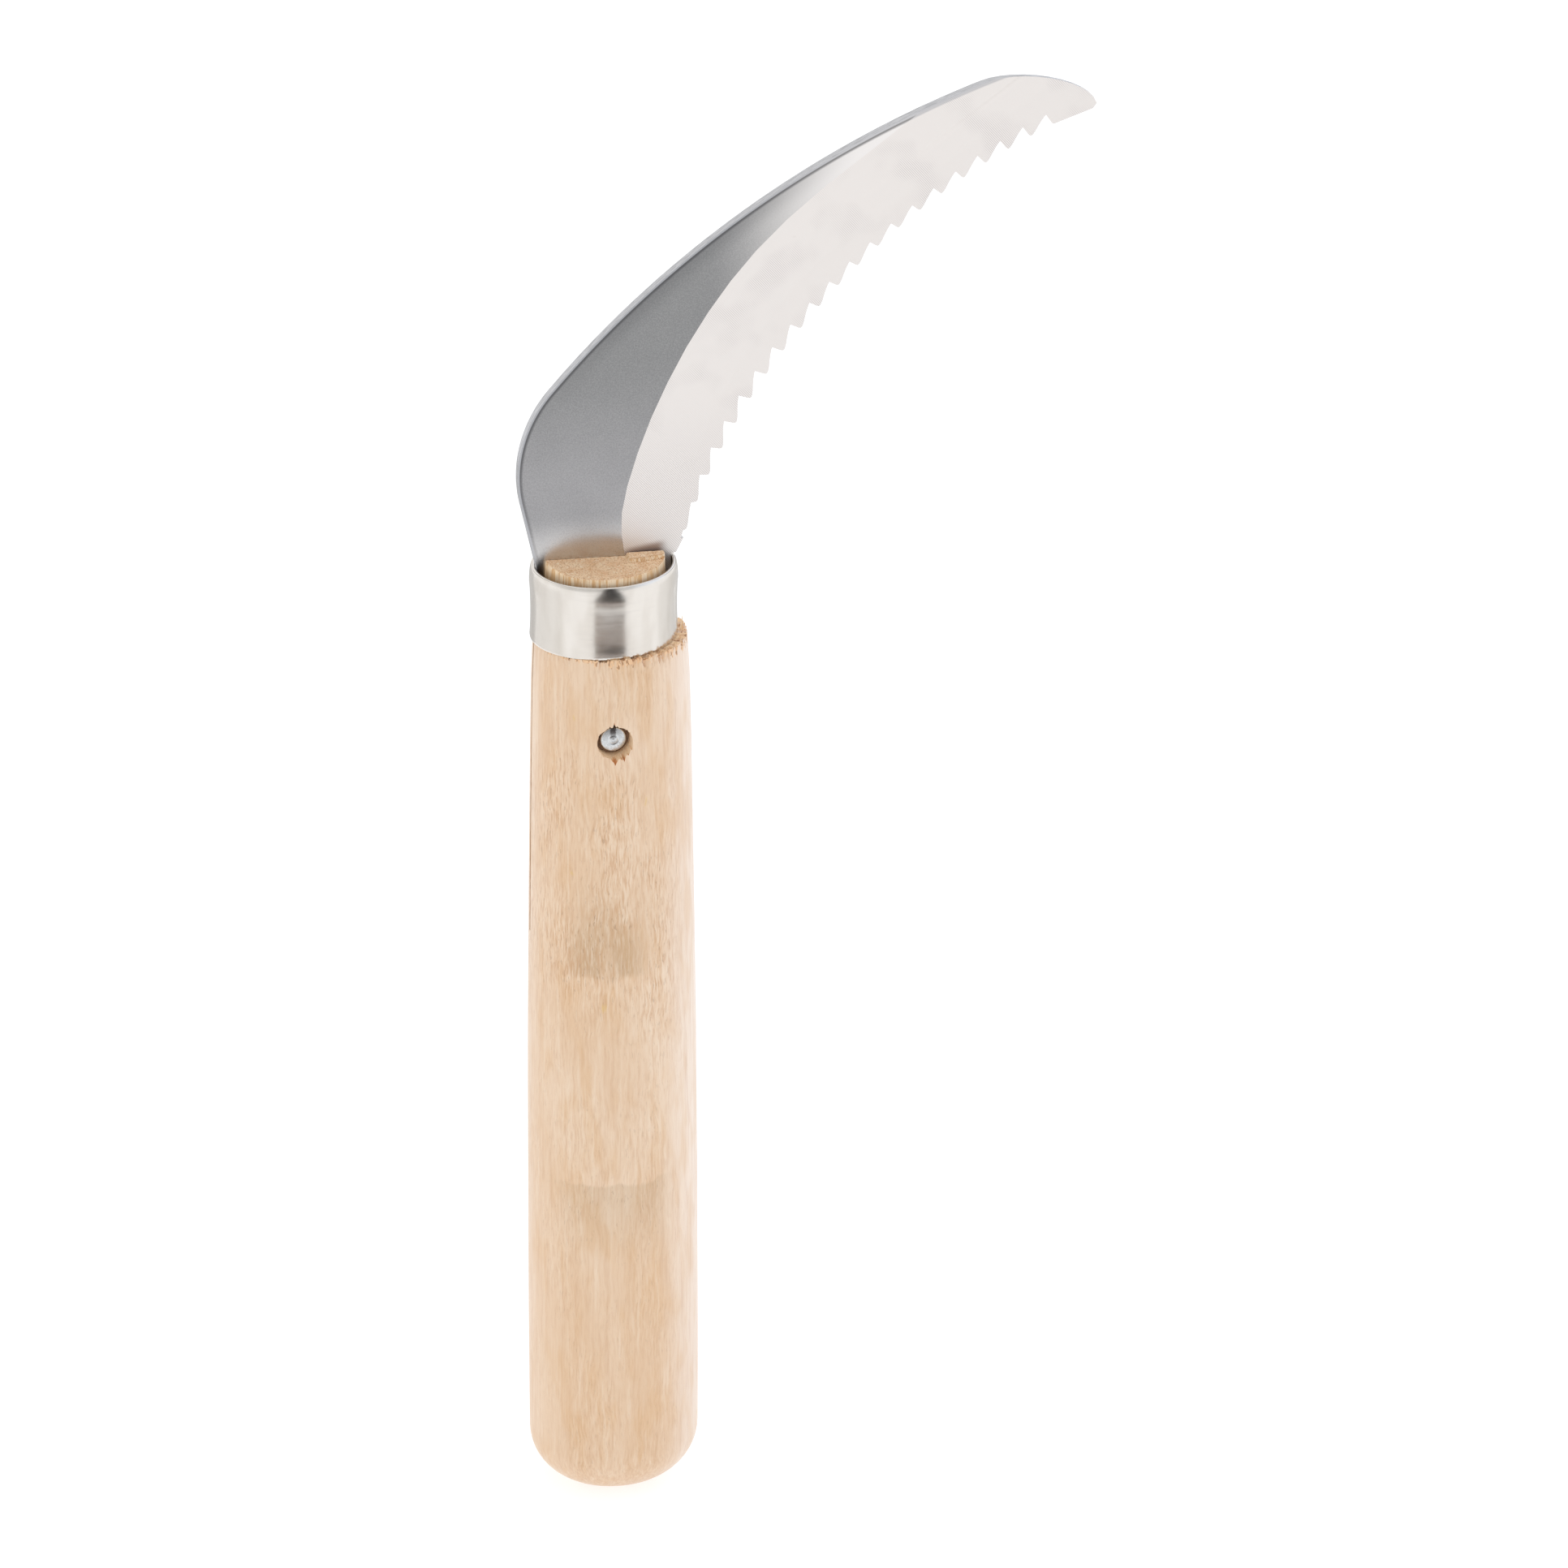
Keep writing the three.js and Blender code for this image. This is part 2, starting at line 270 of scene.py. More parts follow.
WOOD_CREAM = (0.845, 0.640, 0.460)
WOOD_TAN = (0.775, 0.535, 0.340)
WOOD_ORANGE = (0.560, 0.290, 0.125)
WOOD_PALE = (0.930, 0.775, 0.610)
WOOD_HONEY = (0.730, 0.450, 0.225)
WOOD_YELLOW = (0.760, 0.510, 0.180)
WOOD_STAIN = (0.450, 0.290, 0.145)
WOOD_PORE = (0.340, 0.190, 0.100)
WOOD_TORN = (0.880, 0.560, 0.310)
TORN_NOTCH_SHADE = (0.420, 0.200, 0.080)
WOOD_SPIKE = (0.760, 0.370, 0.150)
RIGHT_SIDE_PAINTED_LIGHT = (0.930, 0.790, 0.680)
COUNTERBORE_SHADE_DARK = (0.170, 0.098, 0.060)
COUNTERBORE_SHADE_BROWN = (0.300, 0.190, 0.120)
END_GRAIN_LIGHT = (0.980, 0.690, 0.430)
END_GRAIN_DARK = (0.900, 0.570, 0.320)
END_GRAIN_PORE = (0.540, 0.270, 0.110)
END_GRAIN_FUZZ = (1.000, 0.880, 0.700)
SHOULDER_PAINTED_LIGHT = (1.000, 0.700, 0.420)
STRIP_WALL_SHADE = (0.520, 0.250, 0.090)
SIDE_GRAIN_LIGHT = (0.960, 0.760, 0.530)
SIDE_GRAIN_DARK = (0.760, 0.470, 0.230)
HOLE_WALL_PAINTED_LIGHT = (1.000, 0.740, 0.490)


def wood_fibres(g, across, along, shift=(0, 0, 0), detail=2):
    """Fine marks along the grain that sway a little, as a noise value. `across` and `along` are per mm."""
    sway = g.noise(g.place((0.22, 0.22, 0.2)), detail=1)
    aside = g.ramp(sway, 0.3, 0.7, -0.17, 0.17)
    swayed = g.node("ShaderNodeVectorMath", {0: g.place(), 1: g.node("ShaderNodeCombineXYZ", {"X": aside})},
                    operation="ADD")
    scale = (across, across, along)
    stretched = g.node("ShaderNodeMapping", {"Vector": swayed, "Scale": scale, "Location": shift})
    return g.noise(stretched, detail=detail, roughness=0.55)


def hand_stains(g):
    """Two brown smears on the front: one that ends sharply at its foot, and a fainter one below that ends
    sharply at its top."""
    x, z = g.axis("X"), g.axis("Z")
    front = g.ramp(g.axis("Y"), -6.0, -11.0)
    wavy = g.noise(g.place((0.3, 0.3, 0.05)), detail=2)
    edge_z = g.maths("ADD", z, g.ramp(wavy, 0.3, 0.7, -0.5, 0.5))
    patches = g.noise(g.place((0.22, 0.22, 0.09), shift=(2, 0, 5)), detail=3)
    patchy = g.ramp(patches, 0.35, 0.6, 0.35, 1.0)
    upper = g.times(g.ramp(edge_z, UPPER_STAIN_TOP_Z, UPPER_STAIN_FOOT_Z + 2),
                    g.ramp(edge_z, UPPER_STAIN_FOOT_Z - 0.8, UPPER_STAIN_FOOT_Z + 0.8), patchy,
                    g.ramp(x, -11, -7), g.ramp(x, 4.5, -0.5, 0.2, 1.0))
    lower = g.times(g.ramp(edge_z, LOWER_STAIN_FOOT_Z, LOWER_STAIN_TOP_Z - 1, 0, 0.6),
                    g.ramp(edge_z, LOWER_STAIN_TOP_Z + 0.4, LOWER_STAIN_TOP_Z - 0.4), g.ramp(x, 8.5, 4.0))
    return g.times(g.maths("MAXIMUM", upper, lower), front)


def torn_fringe(g):
    """How torn the wood is just below the shoulder: a ragged band, widest at the front and right."""
    ragged = g.noise(g.place((1.4, 1.4, 0.45), shift=(9, 2, 0)), detail=2, roughness=0.7)
    reach = g.times(g.ramp(ragged, 0.38, 0.66, 0.0, 2.0), g.ramp(g.axis("X"), -9, 1, 0.3, 1.0))
    down = g.maths("SUBTRACT", SHOULDER_Z, g.axis("Z"))
    return g.ramp(g.maths("SUBTRACT", reach, down), -0.1, 0.25)


def wood_long_grain():
    """Turned blond wood: pinkish cream, fine broken orange fibres, two hand stains and a few resin flecks."""
    material, g = new_material("wood_long_grain")
    broad = g.noise(g.place((0.085, 0.085, 0.02)), detail=2)
    streaks = wood_fibres(g, 1.5, 0.06, detail=3)
    fine = wood_fibres(g, 3.4, 0.40, (3, 1, 0))
    pores = wood_fibres(g, 3.6, 0.7, (7, 3, 1))
    # Painted shade: from z = 75 down to the butt the wood is mixed up to half toward tan, darker towards the
    # bottom.
    low_grip_shade = g.ramp(g.axis("Z"), 75, 15, 0.0, 0.5)
    worn = g.ramp(g.noise(g.place((0.13, 0.13, 0.045), shift=(3, 6, 0)), detail=2), 0.35, 0.62, 0.35, 1.0)
    handled = g.times(g.ramp(g.axis("Z"), HANDLED_FOOT_Z, HANDLED_FOOT_Z + 17),
                      g.ramp(g.axis("Z"), HANDLED_TOP_Z, HANDLED_TOP_Z - 12), g.ramp(g.axis("X"), 12, 6))
    # Toward +X the fibres fade, as part of the painted light on the right side.
    depth = g.times(worn, g.maths("ADD", g.times(handled, 0.55), 0.45),
                    g.ramp(g.axis("X"), 5, 10.5, 1.0, 0.4))
    stain = hand_stains(g)
    colour = g.mix(g.maths("ADD", g.ramp(broad, 0.35, 0.65, 0.0, 0.7), low_grip_shade, True), WOOD_CREAM, WOOD_TAN)
    colour = g.mix(g.times(handled, 0.5), colour, WOOD_TAN)
    # Painted light: toward +X the wood is mixed up to half into a pale pinkish white, standing in for light
    # falling on the right side.
    colour = g.mix(g.ramp(g.axis("X"), 4.5, 11.5, 0.0, 0.5), colour, RIGHT_SIDE_PAINTED_LIGHT)
    patches = g.noise(g.place((0.33, 0.33, 0.09), shift=(8, 1, 3)), detail=2)
    colour = g.mix(g.times(g.ramp(patches, 0.45, 0.68), 0.42), colour, WOOD_HONEY)
    colour = g.mix(g.ramp(streaks, 0.5, 0.72, 0.0, 0.22), colour, WOOD_ORANGE)
    colour = g.mix(g.ramp(streaks, 0.48, 0.3, 0.0, 0.30), colour, WOOD_PALE)
    colour = g.mix(g.times(stain, 0.46), colour, WOOD_STAIN)
    colour = g.mix(g.times(g.ramp(fine, 0.49, 0.66), depth, 0.50), colour, WOOD_ORANGE)
    colour = g.mix(g.times(g.ramp(fine, 0.50, 0.34), depth, 0.42), colour, WOOD_PALE)
    dark_pores = g.times(g.ramp(pores, 0.60, 0.70), g.maths("ADD", g.times(stain, 0.6), depth), 0.42)
    colour = g.mix(dark_pores, colour, WOOD_PORE)
    flecks = g.noise(g.place((0.42, 0.42, 0.17), shift=(4, 9, 2)), detail=2)
    colour = g.mix(g.ramp(flecks, 0.73, 0.80, 0.0, 0.7), colour, WOOD_YELLOW)
    fringe = torn_fringe(g)
    # Painted shade: the torn band is darkened in small notches just below the ferrule.
    notch_shade = g.noise(g.place((2.4, 2.4, 1.1), shift=(1, 4, 4)), detail=2, roughness=0.6)
    torn = g.mix(g.ramp(notch_shade, 0.50, 0.60), WOOD_TORN, TORN_NOTCH_SHADE)
    colour = g.mix(g.times(fringe, 0.85), colour, torn)
    height = g.maths("SUBTRACT", fine, g.times(pores, 0.7))
    finish_material(g, colour, g.ramp(fine, 0.3, 0.7, 0.62, 0.52), normal=g.bump(height, 0.05, 0.5),
                    Sheen_Weight=0.45, Sheen_Roughness=0.5)
    return material


def wood_end_grain():
    """Sawn end grain: open pores and a fuzz of pale and brown specks."""
    material, g = new_material("wood_end_grain")
    pores = g.cells(g.place((2.8, 2.8, 2.8)))
    specks = g.noise(g.place((3.8, 3.8, 3.8)), detail=3, roughness=0.8)
    broad = g.noise(g.place((0.4, 0.4, 0.4)), detail=2)
    colour = g.mix(g.ramp(broad, 0.35, 0.65), END_GRAIN_LIGHT, END_GRAIN_DARK)
    colour = g.mix(g.ramp(specks, 0.51, 0.62, 0.0, 0.78), colour, END_GRAIN_PORE)
    colour = g.mix(g.ramp(specks, 0.46, 0.36, 0.0, 0.8), colour, END_GRAIN_FUZZ)
    x, y, z = g.axis("X"), g.axis("Y"), g.axis("Z")
    # Painted light: the end grain at the shoulder is mixed half into a bright orange, standing in for light the
    # ferrule throws onto it.
    colour = g.mix(g.ramp(z, SHOULDER_Z + 1, SHOULDER_Z + 0.5, 0.0, 0.5), colour, SHOULDER_PAINTED_LIGHT)
    # Along the front edge of the tenon top's proud strip the end grain is painted dark orange: partly the
    # wall's own side grain, partly painted shade on the step.
    from_wall = g.maths("ABSOLUTE", g.maths("SUBTRACT", g.maths("ADD", y, KERF_HALF + STRIP_WIDTH),
                                            g.times(g.maths("SUBTRACT", x, STRIP_START), STRIP_TAPER)))
    wall = g.times(g.ramp(from_wall, 0.42, 0.12), g.ramp(x, STRIP_START - 0.3, STRIP_START + 0.3),
                   g.ramp(x, STRIP_END + 0.2, STRIP_END - 0.5), g.ramp(specks, 0.36, 0.56, 0.35, 0.95))
    colour = g.mix(wall, colour, STRIP_WALL_SHADE)
    height = g.maths("ADD", pores, specks)
    finish_material(g, colour, 0.75, normal=g.bump(height, 0.12, 0.7))
    return material


def wood_torn_grain():
    """Rough side grain on the tenon's wall, the rivet's hole and the splinters, darkest in torn spikes."""
    material, g = new_material("wood_torn_grain")
    stripes = g.noise(g.place((3.4, 3.4, 0.14)), detail=3, roughness=0.65)
    colour = g.mix(g.ramp(stripes, 0.42, 0.58), SIDE_GRAIN_LIGHT, SIDE_GRAIN_DARK)
    flat = g.node("ShaderNodeVectorMath", {0: g.place(), 1: (1, 0, 1)}, operation="MULTIPLY")
    from_rivet = g.node("ShaderNodeVectorMath", {0: flat, 1: (RIVET_X, 0, RIVET_Z)}, output="Value",
                        operation="DISTANCE")
    spikes = g.times(g.ramp(from_rivet, COUNTERBORE_RADIUS + 0.2, COUNTERBORE_RADIUS + 0.5),
                     g.ramp(from_rivet, 6.0, 5.0))
    # Painted light: the counterbore's wall is mixed toward pale orange, lifting the shade it lies in.
    hole_wall_light = g.times(g.ramp(from_rivet, COUNTERBORE_RADIUS + 0.4, COUNTERBORE_RADIUS + 0.1),
                        g.ramp(from_rivet, COUNTERBORE_RADIUS - 0.6, COUNTERBORE_RADIUS - 0.3))
    colour = g.mix(g.times(hole_wall_light, 0.7), colour, HOLE_WALL_PAINTED_LIGHT)
    colour = g.mix(g.times(spikes, 0.85), colour, WOOD_SPIKE)
    finish_material(g, colour, 0.72, normal=g.bump(stripes, 0.12, 0.7))
    return material


def wood_counterbore_shade():
    """The counterbore's floor round the rivet's head, painted near-black brown as shade in the narrow gap."""
    material, g = new_material("wood_counterbore_shade")
    mottle = g.noise(g.place((2.2, 2.2, 2.2)), detail=3)
    # Painted shade: near-black browns for the gap round the rivet's head.
    colour = g.mix(g.ramp(mottle, 0.35, 0.65), COUNTERBORE_SHADE_DARK, COUNTERBORE_SHADE_BROWN)
    finish_material(g, colour, 0.8, normal=g.bump(mottle, 0.1))
    return material


# ---- Steel ----

RIM_GREY = (0.44, 0.445, 0.47)
MILL_TENON_REFLECTION = (0.62, 0.605, 0.60)
MILL_FOOT = (0.335, 0.33, 0.335)
MILL_MIDDLE = (0.25, 0.25, 0.25)
MILL_UPPER = (0.32, 0.32, 0.32)
MILL_CLOUD = (0.20, 0.20, 0.205)
MILL_PALE_SPECK = (0.70, 0.70, 0.69)
MILL_DARK_SPECK = (0.12, 0.12, 0.125)
MILL_POLISHED = (0.82, 0.79, 0.77)
MILL_SHADE = (0.10, 0.10, 0.105)
MILL_LINE = (0.07, 0.07, 0.075)
GROUND_PLAIN = (0.80, 0.757, 0.725)
GROUND_RIDGE = (0.865, 0.82, 0.79)
GROUND_GROOVE = (0.60, 0.56, 0.54)
GROUND_CLOUD = (0.78, 0.73, 0.70)
GROUND_SMUDGE = (0.52, 0.42, 0.34)
GROUND_TENON_REFLECTION = (0.24, 0.14, 0.09)
GROUND_LINE = (0.34, 0.35, 0.38)

def blade_distance(g):
    """Millimetres in from the spine: its long arc, then the heel's arc, then the straight foot."""
    flat = g.node("ShaderNodeVectorMath", {0: g.place(), 1: (1, 0, 1)}, operation="MULTIPLY")
    reach = SPINE_RADIUS - HEEL_RADIUS
    heel = (SPINE_CENTRE[0] + reach * math.cos(HEEL_ANGLE), SPINE_CENTRE[1] + reach * math.sin(HEEL_ANGLE))

    def inside(centre, radius):
        away = g.node("ShaderNodeVectorMath", {0: flat, 1: (centre[0], 0, centre[1])}, output="Value",
                      operation="DISTANCE")
        return g.maths("SUBTRACT", radius, away)

    def beyond_heel(angle):
        """Millimetres from the heel's centre along an angle in the blade's plane."""
        along = (math.cos(angle), 0, math.sin(angle))
        shadow = g.node("ShaderNodeVectorMath", {0: flat, 1: along}, output="Value", operation="DOT_PRODUCT")
        return g.maths("SUBTRACT", shadow, heel[0] * along[0] + heel[1] * along[2])

    round_heel = inside(heel, HEEL_RADIUS)
    foot = g.maths("ADD", beyond_heel(HEEL_START - math.pi), HEEL_RADIUS)
    on_foot = g.maths("GREATER_THAN", beyond_heel(HEEL_START + math.pi / 2), 0.0)
    on_spine = g.maths("GREATER_THAN", beyond_heel(HEEL_ANGLE - math.pi / 2), 0.0)
    distance = g.maths("ADD", round_heel, g.times(g.maths("SUBTRACT", foot, round_heel), on_foot))
    to_spine = g.maths("SUBTRACT", inside(SPINE_CENTRE, SPINE_RADIUS), distance)
    return g.maths("ADD", distance, g.times(to_spine, on_spine))


def spine_line(g, depth, width):
    """A painted dark line of shade just inside the spine's broken edge, fading over `width` millimetres."""
    return g.times(g.ramp(depth, 0.15, 0.4), g.ramp(depth, 0.4 + width, 0.45))


def spine_rim(g, depth):
    """The spine's broken edge itself, which is duller than the faces beside it."""
    return g.ramp(depth, 0.34, 0.22)


def steel_mill():
    """Dull rolled sheet: grey, with painted reflections that change its grey with height and make it pale by
    the tenon, finely mottled, with painted shade and a painted dark line along the spine, and polished out
    toward the point.
    """
    material, g = new_material("steel_mill")
    depth = blade_distance(g)
    x, z = g.axis("X"), g.axis("Z")
    mottle = g.noise(g.place((4.2, 4.2, 4.2)), detail=3, roughness=0.7)
    cloud = g.noise(g.place((0.16, 0.16, 0.16)), detail=3)
    # Painted reflection: the grey is pale by the tenon, where the sheet mirrors it, and changes with height for
    # what the sheet mirrors there.
    grey = g.mix(g.ramp(z, 169, 176), MILL_TENON_REFLECTION, MILL_FOOT)
    grey = g.mix(g.ramp(z, 178, 202), grey, MILL_MIDDLE)
    grey = g.mix(g.ramp(z, 212, 232), grey, MILL_UPPER)
    grey = g.mix(g.ramp(cloud, 0.3, 0.7, 0.0, 0.14), grey, MILL_CLOUD)
    grey = g.mix(g.ramp(mottle, 0.45, 0.65, 0.0, 0.09), grey, MILL_PALE_SPECK)
    grey = g.mix(g.ramp(mottle, 0.48, 0.34, 0.0, 0.16), grey, MILL_DARK_SPECK)
    polished = g.times(g.ramp(x, 15, 40), g.ramp(g.axis("Y"), 0.1, -0.1))
    grey = g.mix(polished, grey, MILL_POLISHED)
    # Painted shade: the mill is darkened within 4 mm of the spine by the heel.
    spine_shade = g.times(g.ramp(x, -14, 5), g.ramp(x, 42, 20), g.ramp(depth, 4.0, 0.5), 0.35)
    grey = g.mix(spine_shade, grey, MILL_SHADE)
    # Painted shade: a dark line just inside the spine's broken edge.
    line = g.times(spine_line(g, depth, 0.5), g.ramp(x, 70, 40, 0.45, 0.75), g.ramp(z, 166, 188, 0.3, 1.0))
    grey = g.mix(line, grey, MILL_LINE)
    grey = g.mix(g.times(spine_rim(g, depth), 0.7), grey, RIM_GREY)
    finish_material(g, grey, g.ramp(polished, 0.0, 1.0, 0.24, 0.42), metallic=1.0,
                    normal=g.bump(mottle, 0.006, 0.5))
    return material


def steel_ground():
    """The ground bevel: bright, with fine diagonal grinding marks that come and go, a few brown smudges and a
    painted dark reflection of the tenon's step along its foot.
    """
    material, g = new_material("steel_ground")
    x, z = g.axis("X"), g.axis("Z")
    turned_place = g.place(turn=(0, GRIND_LINES_ANGLE, 0))
    marks = g.node("ShaderNodeTexWave", {"Vector": turned_place, "Scale": 1.15, "Distortion": 0.6,
                                         "Detail": 2.0, "Detail Scale": 0.5, "Detail Roughness": 0.5},
                   output="Fac", bands_direction="Z", wave_profile="SIN")
    where = g.noise(g.place((0.11, 0.11, 0.11), shift=(3, 0, 1)), detail=2)
    near_foot = g.ramp(z, 196, 176)
    strength = g.maths("MAXIMUM", g.ramp(where, 0.46, 0.66, 0.0, 0.9), near_foot)
    lined = g.mix(g.ramp(marks, 0.25, 0.9), GROUND_RIDGE, GROUND_GROOVE)
    colour = g.mix(g.times(strength, 0.9), GROUND_PLAIN, lined)
    cloud = g.noise(g.place((0.2, 0.2, 0.2), shift=(1, 5, 2)), detail=2)
    colour = g.mix(g.ramp(cloud, 0.5, 0.75, 0.0, 0.14), colour, GROUND_CLOUD)
    smudge = g.noise(g.place((0.28, 0.28, 0.28), shift=(2, 2, 6)), detail=3)
    colour = g.mix(g.ramp(smudge, 0.70, 0.8, 0.0, 0.45), colour, GROUND_SMUDGE)
    # Painted reflection: a dark reddish band just above the tenon's top, where the bevel mirrors the tenon's
    # dark step.
    foot_z = g.maths("SUBTRACT", g.maths("SUBTRACT", z, TENON_TOP_Z), g.times(x, 0.09))
    tenon_step_reflection = g.times(g.ramp(foot_z, 1.3, 0.1), g.ramp(x, 0.5, 3.5), g.ramp(x, 9.5, 7.5))
    colour = g.mix(g.times(tenon_step_reflection, 0.75), colour, GROUND_TENON_REFLECTION)
    depth = blade_distance(g)
    # Painted shade: a dark line just inside the spine's broken edge.
    colour = g.mix(g.times(spine_line(g, depth, 0.45), 0.55), colour, GROUND_LINE)
    colour = g.mix(g.times(spine_rim(g, depth), 0.75), colour, RIM_GREY)
    finish_material(g, colour, 0.42, metallic=0.6, normal=g.bump(g.times(marks, strength), 0.012, 0.6))
    return material


def steel_edge():
    """Sheared edge of the plate."""
    material, g = new_material("steel_edge")
    streaks = g.noise(g.place((0.6, 6.0, 0.6)), detail=2)
    colour = g.mix(g.ramp(streaks, 0.4, 0.65), (0.56, 0.56, 0.575), (0.42, 0.42, 0.43))
    finish_material(g, colour, 0.38, metallic=0.9, normal=g.bump(streaks, 0.02, 0.4))
    return material


def ferrule_metal():
    """Thin plated band: bright satin, with faint upright shading, fine scratches round it and a few dents."""
    material, g = new_material("ferrule_metal")
    marks = g.noise(g.place((3.0, 3.0, 0.10)), detail=3, roughness=0.6)
    scratches = g.noise(g.place((0.25, 0.25, 5.0)), detail=3, roughness=0.7)
    cloud = g.noise(g.place((0.3, 0.3, 0.10)), detail=2)
    colour = g.mix(g.ramp(cloud, 0.35, 0.65), (0.765, 0.725, 0.675), (0.705, 0.66, 0.605))
    colour = g.mix(g.ramp(scratches, 0.55, 0.7, 0.0, 0.2), colour, (0.62, 0.585, 0.545))
    dents = g.noise(g.place((0.22, 0.22, 0.25), shift=(5, 1, 8)), detail=1)
    normal = g.bump(dents, 0.10, 0.5, g.bump(g.maths("ADD", marks, scratches), 0.002, 0.5))
    finish_material(g, colour, g.ramp(scratches, 0.3, 0.7, 0.17, 0.23), metallic=1.0, normal=normal)
    return material


def rivet_metal():
    """Peened metal: pale and scuffed, with a dark wedge painted running up from the middle of each head."""
    material, g = new_material("rivet_metal")
    scuffs = g.noise(g.place((3.5, 3.5, 3.5)), detail=3, roughness=0.7)
    colour = g.mix(g.ramp(scuffs, 0.4, 0.65), (0.70, 0.72, 0.73), (0.60, 0.62, 0.63))
    aside = g.maths("ABSOLUTE", g.maths("SUBTRACT", g.axis("X"), RIVET_X - 0.05))
    up = g.maths("SUBTRACT", g.axis("Z"), RIVET_Z)
    wavy = g.ramp(scuffs, 0.3, 0.7, -0.15, 0.15)
    # A dark wedge is painted from the middle of the head upward.
    dark_wedge = g.times(g.ramp(g.maths("ADD", aside, wavy), 0.62, 0.30), g.ramp(up, 0.0, 0.5),
                    g.ramp(up, 0.6, 1.7, 0.65, 0.95))
    colour = g.mix(dark_wedge, colour, (0.10, 0.085, 0.08))
    finish_material(g, colour, g.ramp(scuffs, 0.3, 0.7, 0.26, 0.36), metallic=1.0,
                    normal=g.bump(scuffs, 0.012, 0.5))
    return material


# ---- Handle ----

HANDLE_SEGMENTS = 288
CHIP_IN = 0.7
CHIP_DOWN = 1.5


def grip_half(z):
    """X half width of the grip at height z, before the butt's rounding."""
    share = (z - GRIP_WIDEST_Z) / (SHOULDER_Z - GRIP_WIDEST_Z)
    return GRIP_HALF - SHOULDER_DROP * share * share


def oval(x, half, ratio, z):
    """One ring of points round the handle."""
    ring = []
    for k in range(HANDLE_SEGMENTS):
        a = 2 * math.pi * k / HANDLE_SEGMENTS
        ring.append(Vector((x + half * math.cos(a), ratio * half * math.sin(a), z)))
    return ring


def handle_rings():
    """Rings from the flat of the butt up the grip, in over the shoulder, up the tenon and in over its top."""
    flat = grip_half(0) - BUTT_ROUND
    rings = [oval(0, flat * share, GRIP_RATIO, 0) for share in (0.35, 0.7, 0.96)]
    steps = 14
    for i in range(1, steps + 1):
        a = i / steps * math.pi / 2
        z = BUTT_ROUND * (1 - math.cos(a))
        rings.append(oval(0, grip_half(z) - BUTT_ROUND * (1 - math.sin(a)), GRIP_RATIO, z))
    top = SHOULDER_Z - 3.0
    steps = 56
    for i in range(1, steps + 1):
        z = BUTT_ROUND + i / steps * (top - BUTT_ROUND)
        rings.append(oval(0, grip_half(z), GRIP_RATIO, z))
    for drop in (2.5, 2.0, 1.6, 1.2, 0.9, 0.6, 0.35, 0.15, 0.0):
        rings.append(oval(0, grip_half(SHOULDER_Z - drop), GRIP_RATIO, SHOULDER_Z - drop))
    outer = grip_half(SHOULDER_Z)
    steps = 6
    for i in range(1, steps + 1):
        t = i / steps
        half = outer + t * (TENON_FOOT_HALF - outer)
        rings.append(oval(t * TENON_X, half, GRIP_RATIO + t * (TENON_RATIO - GRIP_RATIO), SHOULDER_Z))
    for t in (0.3, 0.6, 0.85, 0.95, 1.0):
        half = TENON_FOOT_HALF + t * (TENON_TOP_HALF - TENON_FOOT_HALF)
        z = SHOULDER_Z + t * (TENON_TOP_Z - SHOULDER_Z) - TENON_CORNER * (t == 1)
        rings.append(oval(TENON_X, half, TENON_RATIO, z))
    steps = 44
    for i in range(steps):
        share = 0.985 * (1 - i / steps)
        rings.append(oval(TENON_X, TENON_TOP_HALF * share, TENON_RATIO, TENON_TOP_Z))
    return rings


def chip_depth(angle):
    """How far the shoulder's edge is torn back at an angle round the handle: most at the front and right."""
    front = smoothstep(-0.2, 0.9, math.cos(angle + math.radians(62)))
    coarse = noise.noise(Vector((9 * math.cos(angle), 9 * math.sin(angle), 4.0)))
    fine = noise.noise(Vector((34 * math.cos(angle), 34 * math.sin(angle), 9.0)))
    return (0.25 + front) * max(0.0, 0.55 * coarse + 0.8 * fine)


def weather_handle(p):
    """Hand-made unevenness: a wavy surface, a torn shoulder edge and a sawn step on top of the tenon."""
    angle = math.atan2(p.y, p.x)
    out = Vector((math.cos(angle), math.sin(angle), 0))
    if p.z <= SHOULDER_Z + 0.01:
        wave = noise.noise(Vector((p.x * 0.12, p.y * 0.12, p.z * 0.03)))
        ridge = noise.noise(Vector((p.x * 1.1, p.y * 1.1, p.z * 0.05)))
        amount = smoothstep(0, 12, p.z) * (0.05 * wave + 0.022 * ridge)
        edge = smoothstep(2.6, 0.0, SHOULDER_Z - p.z)
        rim = smoothstep(TENON_FOOT_HALF, grip_half(SHOULDER_Z) - 0.2, math.hypot(p.x, p.y / GRIP_RATIO))
        chip = chip_depth(angle) * edge * rim
        worn_right = smoothstep(0, 12, p.x)
        sunk = 0.15 * worn_right * edge
        drawn_in = (0.12 + 0.08 * worn_right) * smoothstep(8, 0, SHOULDER_Z - p.z)
        return p + out * (amount - CHIP_IN * chip - drawn_in) - Vector((0, 0, CHIP_DOWN * chip + sunk))
    if p.z > TENON_TOP_Z - 0.01:
        rough = 0.10 * noise.noise(p * 1.7) + 0.05 * noise.noise(p * 4.0)
        return p + Vector((0, 0, min(rough, 0.0) + saw_step(p)))
    ridge = noise.noise(Vector((p.x * 1.6, p.y * 1.6, 3.0)))
    return p + out * (0.10 * ridge)


